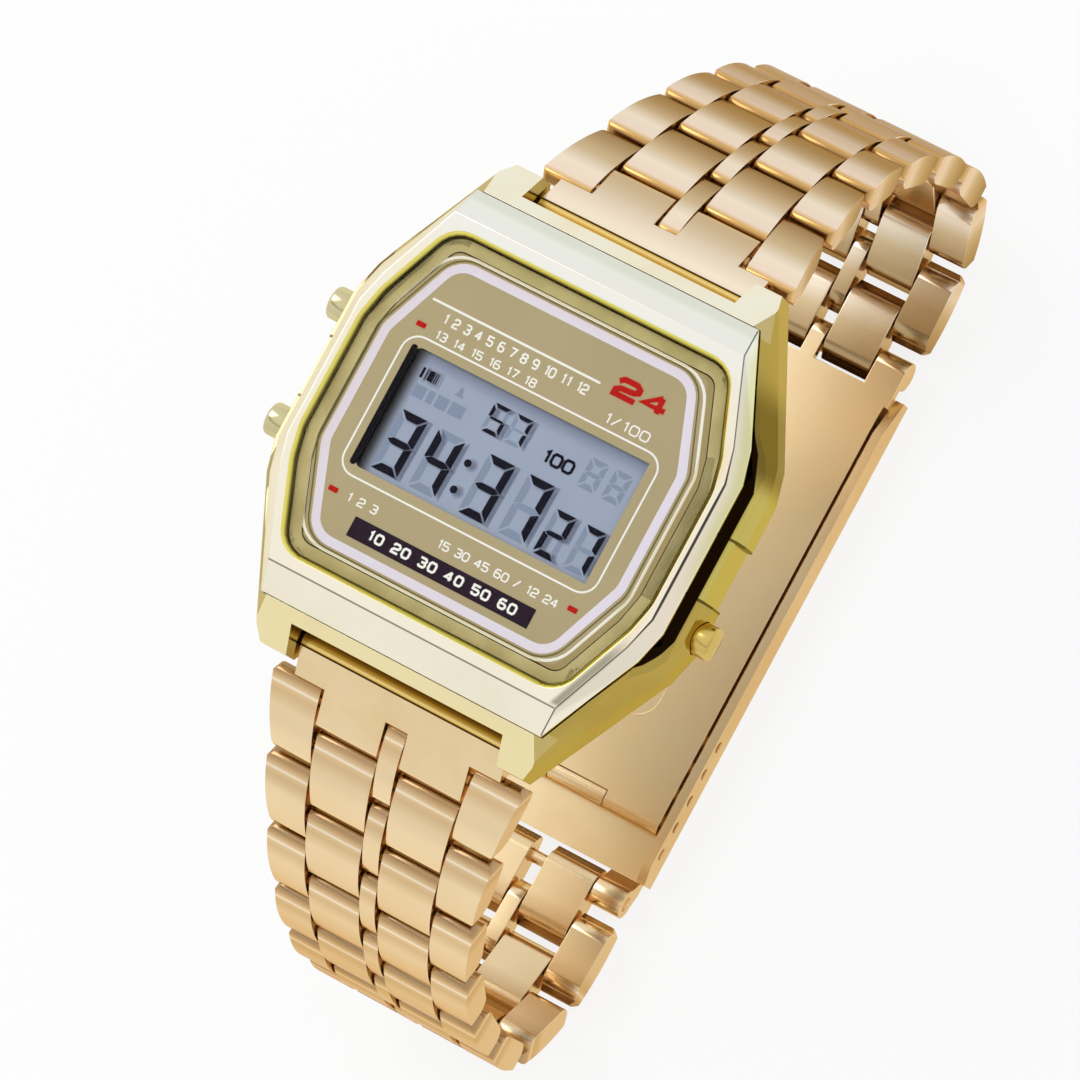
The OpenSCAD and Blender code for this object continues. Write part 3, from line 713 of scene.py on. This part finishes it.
# Strokes of each plain number in a box one wide and one high
glyphs = {
    "0": [[(0, .2), (0, .8), (.2, 1), (.8, 1), (1, .8), (1, .2), (.8, 0), (.2, 0), (0, .2)]],
    "1": [[(0.4, .8), (.8, 1), (.8, 0)]],
    "2": [[(0, .78), (.2, 1), (.8, 1), (1, .8), (1, .62), (.8, .48), (.2, .42), (0, .25), (0, 0), (1, 0)]],
    "3": [[(0, 1), (.8, 1), (1, .8), (1, .7), (.8, .52), (.3, .52)],
          [(.8, .52), (1, .34), (1, .2), (.8, 0), (.2, 0), (0, .2)]],
    "4": [[(1, .3), (0, .3), (.7, 1)], [(.7, 1), (.7, 0)]],
    "5": [[(1, 1), (0, 1), (0, .56), (.8, .56), (1, .4), (1, .18), (.8, 0), (.2, 0), (0, .18)]],
    "6": [[(.9, 1), (.2, 1), (0, .8), (0, .2), (.2, 0), (.8, 0), (1, .2), (1, .38), (.8, .56)],
          [(.8, .56), (0, .56)]],
    "7": [[(0, 1), (1, 1), (.4, 0)]],
    "8": [[(.2, .54), (0, .74), (0, .8), (.2, 1), (.8, 1), (1, .8), (1, .74), (.8, .54), (.2, .54)],
          [(.2, .54), (0, .34), (0, .2), (.2, 0), (.8, 0), (1, .2), (1, .34), (.8, .54)]],
    "9": [[(.1, 0), (.8, 0), (1, .2), (1, .8), (.8, 1), (.2, 1), (0, .8), (0, .62), (.2, .44)],
          [(.2, .44), (1, .44)]],
    "/": [[(0, 0), (1, 1)]],
}
narrow = {"1": 0.75, " ": 0.6, "/": 0.8}


def ribbon(form, points, width, level, thickness):
    """Adds a flat stroke with mitred corners; it closes where it ends at its own start."""
    closed = points[0] == points[-1]
    points = [Vector(p) for p in (points[:-1] if closed else points)]
    last = len(points) - 1
    rows = []
    for i, here in enumerate(points):
        ahead = points[(i + 1) % len(points)] - here if closed or i < last else here - points[i - 1]
        back = here - points[i - 1] if closed or i > 0 else ahead
        along = (back.normalized() + ahead.normalized()).normalized()
        side = Vector((-along.y, along.x)) * width / 2 / max(along.dot(ahead.normalized()), 0.5)
        rows.append([form.verts.new((p.x * mm, p.y * mm, level + z * mm)) for p, z in (
            (here + side, 0), (here - side, 0), (here - side, thickness), (here + side, thickness))])
    for row, after in zip(rows, rows[1:] + rows[:1] if closed else rows[1:]):
        for k in range(4):
            form.faces.new((row[k], row[(k + 1) % 4], after[(k + 1) % 4], after[k]))
    if not closed:
        form.faces.new(rows[0])
        form.faces.new(rows[-1][::-1])


def numerals(name, text, box, material, stroke, level=print_level, gap=0.34):
    """A row of plain numbers that fills the box x0, y0, x1, y1."""
    x0, y0, x1, y1 = box
    shares = [narrow.get(sign, 1.0) for sign in text]
    share = (x1 - x0 - stroke) / (sum(shares) + gap * (len(text) - 1))
    form = bmesh.new()
    x = x0 + stroke / 2
    for sign, wide in zip(text, shares):
        for step, line in enumerate(glyphs.get(sign, [])):
            points = [(x + u * wide * share, y0 + stroke / 2 + v * (y1 - y0 - stroke)) for u, v in line]
            ribbon(form, points, stroke, level + step * 0.002 * mm, print_h)
        x += (wide + gap) * share
    finish_form(name, form, material)


def print_dial(white, lilac, red, plum, olive, black, khaki):
    """All print on the dial and round its window: frames, lines, pips, strip, plain numbers; the white rim
    line is a painted highlight and the window's dark left edge and wall are painted shadow.
    """
    # Frames round the dial, each between two outlines: half width, half length, half width of
    # the ends, half length of the waist, and the corners' radius
    frames = [
        # The white rim line is a painted highlight of the crystal's bevelled edge
        ("dial_rim_line", (12.7, 11.13, 10.1, 4.75, 2.8), (12.5, 10.93, 9.95, 4.65, 2.6), white),
        ("dial_hairline", (12.32, 10.9, 9.65, 4.5, 2.4), (12.2, 10.8, 9.6, 4.5, 2.4), olive),
        ("dial_frame", (12.05, 10.67, 9.5, 4.4, 2.2), (11.4, 10.02, 9.1, 4.2, 1.6), lilac),
    ]
    for name, outer, inner, material in frames:
        outer, inner = [shifted(rounded(eight_corners(*f[:4]), f[4])) for f in (outer, inner)]
        band(name, outer, inner, print_level, print_h, material)

    # The line round the display's window
    x, low, high, radius, line = 10.17, -5.8, 4.86, 1.3, 0.14
    outer = rounded(rectangle(-x, low, x, high), radius)
    inner = rounded(rectangle(line - x, low + line, x - line, high - line), radius - line)
    band("display_outline", shifted(outer), shifted(inner), print_level, print_h, white)

    # The line above the numbers, the pips by the buttons and the dark strip
    prism("dial_line", [shifted(rectangle(-9.75, 7.33, 3.6, 7.5))], print_level, print_h, white)
    pips = [(-9.6, 5.5), (-9.55, -7.1), (9.4, -6.9)]
    w, h = 0.37, 0.19
    shapes = [rounded(rectangle(x - w, y - h, x + w, y + h), 0.08, 3) for x, y in pips]
    prism("button_pips", [shifted(s) for s in shapes], print_level, print_h, red)
    prism("dark_strip", [shifted(rectangle(-7.2, -9.47, 7.2, -8.02))], print_level, print_h, plum)

    # The window's sides: khaki margin at the right, and at the left a painted shadow as a dark edge and a
    # dark wall
    margin = rectangle(8.95, -5.1, 9.55, 4.2)
    prism("display_margin", [margin], dial_top - 0.2 * mm, 0.21, khaki)
    edge = rounded(rectangle(-9.87, -5.02, -9.4, 4.12), 0.2, 4)
    prism("display_dark_edge", [edge], print_level, print_h, black)
    wall = rectangle(-9.47, -4.98, -9.37, 4.08)
    prism("display_dark_wall", [wall], glass_top, (print_level - glass_top) / mm, black)

    # Rows of plain numbers: piece, text, box, ink and width of the strokes
    rows = [
        ("hour_numbers", "1 2 3 4 5 6 7 8 9 10 11 12", (-8.45, 6.2, 3.1, 6.95), white, 0.13),
        ("afternoon_numbers", "13 14 15 16 17 18", (-8.45, 5.05, -0.35, 5.7), white, 0.11),
        ("large_number", "24", (4.5, 7.05, 8.75, 8.6), red, 0.42),
        ("small_number", "1/100", (4.9, 5.2, 8.5, 5.95), white, 0.11),
        ("low_left_numbers", "1 2 3", (-8.5, -7.4, -6.0, -6.75), white, 0.11),
        ("low_right_numbers", "15 30 45 60 / 12 24", (-1.25, -7.4, 8.35, -6.75), white, 0.11),
    ]
    for name, text, (x0, y0, x1, y1), material, stroke in rows:
        numerals(name, text, (x0 + print_shift, y0, x1 + print_shift, y1), material, stroke)
    box = (-5.9 + print_shift, -9.12, 6.0 + print_shift, -8.34)
    above_strip = print_level + print_h * mm * 0.6
    numerals("strip_numbers", "10 20 30 40 50 60", box, white, 0.17, above_strip, 0.55)


# Picture of the liquid-crystal display

# Levels of the lit marks, their shadows and the unlit marks, and the lean of the digits
lit_level = glass_top + 0.012 * mm
shade_level = glass_top + 0.006 * mm
ghost_level = glass_top + 0.002 * mm
segment_h = 0.008
digit_lean = 0.025

# Lit segments of each digit: top a, upper right b, lower right c, bottom d, lower left e,
# upper left f, middle g
digit_segments = {"2": "abged", "3": "abgcd", "4": "fgbc", "5": "afgcd", "7": "abc"}


def segment_outlines(x, y, w, h, t):
    """The seven segments of a digit w by h millimetres with strokes t thick."""
    g = 0.07
    m = h / 2
    lens = t * 0.55
    shapes = {
        "a": [(g, h), (w - g, h), (w - t - g, h - t), (t + g, h - t)],
        "d": [(t + g, t), (w - t - g, t), (w - g, 0), (g, 0)],
        "b": [(w, h - 2 * g), (w, m + g), (w - g, m + g * 0.6), (w - t, m + lens), (w - t, h - t - 2 * g)],
        "c": [(w, m - g), (w, 2 * g), (w - t, t + 2 * g), (w - t, m - lens), (w - g, m - g * 0.6)],
        "f": [(0, h - 2 * g), (t, h - t - 2 * g), (t, m + lens), (g, m + g * 0.6), (0, m + g)],
        "e": [(0, m - g), (g, m - g * 0.6), (t, m - lens), (t, t + 2 * g), (0, 2 * g)],
        "g": [(g * 1.6, m), (t * 0.9, m + lens - g), (w - t * 0.9, m + lens - g),
              (w - g * 1.6, m), (w - t * 0.9, m - lens + g), (t * 0.9, m - lens + g)],
    }
    return {key: [(x + u + v * digit_lean, y + v) for u, v in shape] for key, shape in shapes.items()}


def shade_of(outlines):
    """Soft shadows: each outline moved aside, solid within and fading over the feather."""
    aside = Vector((0.33, -0.03))
    feather = 0.2
    form = bmesh.new()
    shade = form.verts.layers.float.new("shade")
    for outline in outlines:
        middle = sum((Vector(p) for p in outline), Vector((0, 0))) / len(outline)
        rings = []
        for grow, depth in ((-0.5, 1.0), (0.5, 0.45), (1.3, 0.0)):
            ring = []
            for p in outline:
                away = Vector(p) - middle
                q = middle + away + away.normalized() * grow * feather + aside
                vert = form.verts.new((q.x * mm, q.y * mm, shade_level))
                vert[shade] = depth
                ring.append(vert)
            rings.append(ring)
        form.faces.new(rings[0])
        for ring, after in zip(rings, rings[1:]):
            for i in range(len(ring)):
                j = (i + 1) % len(ring)
                form.faces.new((ring[i], after[i], after[j], ring[j]))
    return form


def draw_display(dark, ghost, shade):
    """Digits, colon, small marks, their soft shadows and the faint unlit segments."""
    # Width, height and stroke of the digits
    large, medium = (2.1, 4.45, 0.55), (1.65, 3.33, 0.42)
    small, blank = (1.35, 2.12, 0.28), (1.4, 2.2, 0.4)
    digits = [
        ("3", -7.95, -4.57, large), ("4", -4.93, -4.57, large), ("3", -0.95, -4.57, large),
        ("7", 2.2, -4.57, large), ("2", 5.07, -4.7, medium), ("7", 7.45, -4.7, medium),
        ("5", -2.25, 1.0, small), ("7", -0.5, 1.0, small), ("", 5.6, 0.6, blank), ("", 7.5, 0.6, blank),
    ]
    lit, unlit = [], []
    for text, x, y, size in digits:
        for key, outline in segment_outlines(x, y, *size).items():
            chosen = lit if key in digit_segments.get(text, "") else unlit
            chosen.append(shifted(outline, display_shift))

    # The colon, then the bars, the bell and the blocks of the upper left
    dot_x, dot_r, dot_sides = -1.88, 0.27, 20
    turns = [i * math.tau / dot_sides for i in range(dot_sides)]
    for y in (-1.4, -3.4):
        dot = [(dot_x + dot_r * math.cos(turn), y + dot_r * math.sin(turn)) for turn in turns]
        lit.append(shifted(dot, display_shift))
    for x, w in ((-7.88, 0.2), (-7.5, 0.06), (-7.32, 0.42), (-6.8, 0.07), (-6.64, 0.06)):
        lit.append(shifted(rectangle(x, 2.3, x + w, 3.05), display_shift))
    bell = [(-5.1, 2.3), (-4.9, 2.5), (-4.85, 2.85), (-4.7, 3.0), (-4.55, 2.85), (-4.5, 2.5), (-4.3, 2.3)]
    unlit.append(shifted(bell, display_shift))
    for x, w in ((-7.8, 0.9), (-6.7, 0.5), (-6.0, 0.9), (-4.9, 1.1)):
        unlit.append(shifted(rectangle(x, 0.95, x + w, 1.85), display_shift))

    prism("display_digits", lit, lit_level, segment_h, dark)
    prism("display_unlit_digits", unlit, ghost_level, 0.003, ghost)
    x = print_shift + display_shift
    numerals("display_small_number", "100", (2.4 + x, 0.95, 4.95 + x, 1.95), dark, 0.2, lit_level)
    finish_form("display_shades", shade_of(lit), shade)


# Surroundings


def add_floor():
    """Plain pale floor: white to the eye and in reflections, but it keeps the shadow."""
    reach = 3.0
    gap = 0.02 * mm
    whiteness = 0.82
    form = bmesh.new()
    bmesh.ops.create_grid(form, x_segments=1, y_segments=1, size=reach)
    mesh = bpy.data.meshes.new("floor")
    form.to_mesh(mesh)
    form.free()
    floor = bpy.data.objects.new("floor", mesh)
    floor.location.z = cad_bounds[0].z - gap
    bpy.context.scene.collection.objects.link(floor)
    look = new_look("pale_floor")
    camera, glossy, through = [look.node("LightPath", out="Is " + kind + " Ray")
                               for kind in ("Camera", "Glossy", "Transmission")]
    seen = camera.most(glossy).most(through)
    matt = look.node("BsdfDiffuse", values={"Color": (0.92, 0.92, 0.92, 1)})
    white = look.node("Emission", values={"Color": (1, 1, 1, 1), "Strength": 1.0})
    look.ends_in(look.node("MixShader", values={0: seen * whiteness, 1: matt, 2: white}))
    mesh.materials.append(look.owner)


def add_world():
    """Soft studio dome, brightest overhead, with one darker ring except beyond 12 o'clock."""
    level, rise, fall, ring_depth = 0.84, 0.12, 0.06, 0.55
    world = bpy.data.worlds.new("studio")
    bpy.context.scene.world = world
    look = Look(world)
    point = look.node("TexCoord", out="Generated")
    across, ahead, up = [look.node("SeparateXYZ", values={0: point}, out=i) for i in range(3)]
    ring = up.between(0.76, 0.8, 0.84, 0.88) * (1 - ahead.ease(0.1, 0.4))
    strength = (level + up * rise - across * fall) * (1 - ring * ring_depth)
    background = look.tree.nodes["Background"]
    look.feed(background.inputs["Color"], (1, 1, 1, 1))
    look.feed(background.inputs["Strength"], strength)


def add_lamp(name, direction, distance, size, level):
    """Square soft lamp aimed at the watch; level is the radiance it shows."""
    data = bpy.data.lights.new(name, "AREA")
    data.size = size
    data.energy = math.pi * size * size * level
    lamp = bpy.data.objects.new(name, data)
    away = Vector(direction).normalized()
    middle = (cad_bounds[0] + cad_bounds[1]) / 2
    lamp.location = middle + away * distance
    lamp.rotation_euler = away.to_track_quat("Z", "Y").to_euler()
    bpy.context.scene.collection.objects.link(lamp)


def dress(khaki):
    """Gives every carried node and every rounded copy its finish."""
    pale = polished_metal("pale_gold", "d9cfa4", "c6ba8a", 0.12)
    push = {"button_light": pale, "button_mode": pale,
            "button_start": polished_metal("deep_gold", "d8bd6c", "c4a556", 0.18)}
    steel = polished_metal("brushed_steel", "c9c7c2", "b7b4ae", 0.24, 0.12, (300, 9000, 300))
    strap_ends = strap_finish("satin_rose_gold_ends", shaded_gap)
    lower_links = strap_finish("satin_rose_gold_lower", painted_rolled_ends)
    upper_links = strap_finish("satin_rose_gold_upper", painted_upper_links)
    finishes = {
        "case_gold": body_finish(), "bezel_gold": bezel_finish(),
        "strap_gold": strap_finish("satin_rose_gold"), "crystal_clear": crystal_finish(),
        "seal_rubber": moulded("seal_rubber", "dad1a8", "c6bc90", 0.5),
        "dial_print": khaki, "display": display_finish(),
        "contact_rubber": moulded("contact_rubber", "2b2b2c", "3c3a38", 0.6),
        "frame_resin": moulded("frame_resin", "2a2a2b", "343231", 0.45),
        "board_green": moulded("board_green", "1f5a37", "174a2c", 0.35, 2500),
        "cell_steel": steel, "back_steel": steel,
        "clip_brass": polished_metal("sprung_brass", "d8bc6a", "c4a552", 0.25),
        "spring_steel": polished_metal("spring_steel", "bdbbb6", "a9a6a0", 0.22),
    }
    for name, node in nodes.items():
        slot = node.data.materials[0].name.split(".")[0]
        if name in push:
            node.data.materials[0] = push[name]
        elif name.endswith("end_link"):
            node.data.materials[0] = strap_ends
        elif "_link_" in name:
            node.data.materials[0] = upper_links if name.startswith("upper") else lower_links
        else:
            node.data.materials[0] = finishes[slot]

    # Width of the rounding in millimetres, and the angle in degrees above which an edge is sharp
    case_edges, link_edges, clasp_edges = (0.12, 15.6), (0.14, 35), (0.1, 35)
    for name in nodes:
        if name in ("case_body", "bezel"):
            softened(name, *case_edges)
        elif "_link" in name:
            softened(name, *link_edges)
        elif name in push:
            turned_button(name, push[name])
        elif name.startswith("clasp"):
            softened(name, *clasp_edges)


add_camera()
bpy.context.scene.view_settings.view_transform = "Standard"
add_floor()
add_world()
add_lamp("key_softbox", direction=(-0.62, 0.25, 0.74), distance=0.7, size=0.38, level=2.4)
dial_khaki = dial_finish()
dress(dial_khaki)
print_dial(
    white=ink("ink_white", "fcfaf5", "efebe0"),
    lilac=ink("ink_lilac", "ece5f3", "e0d7e8"),
    red=ink("ink_red", "c0160d", "a8150c"),
    plum=ink("ink_plum", "241425", "33202f"),
    olive=ink("ink_olive", "6f6638", "7d7445"),
    # Black standing in for painted shadow at the display window's left
    black=ink("ink_black", "08070d", "100e16"),
    khaki=dial_khaki,
)
draw_display(
    dark=ink("segment_dark", "0b0a1a", "141326", 0.4),
    ghost=ink("segment_unlit", "8593ab", "8d9bb2"),
    shade=soft_shade_finish(),
)
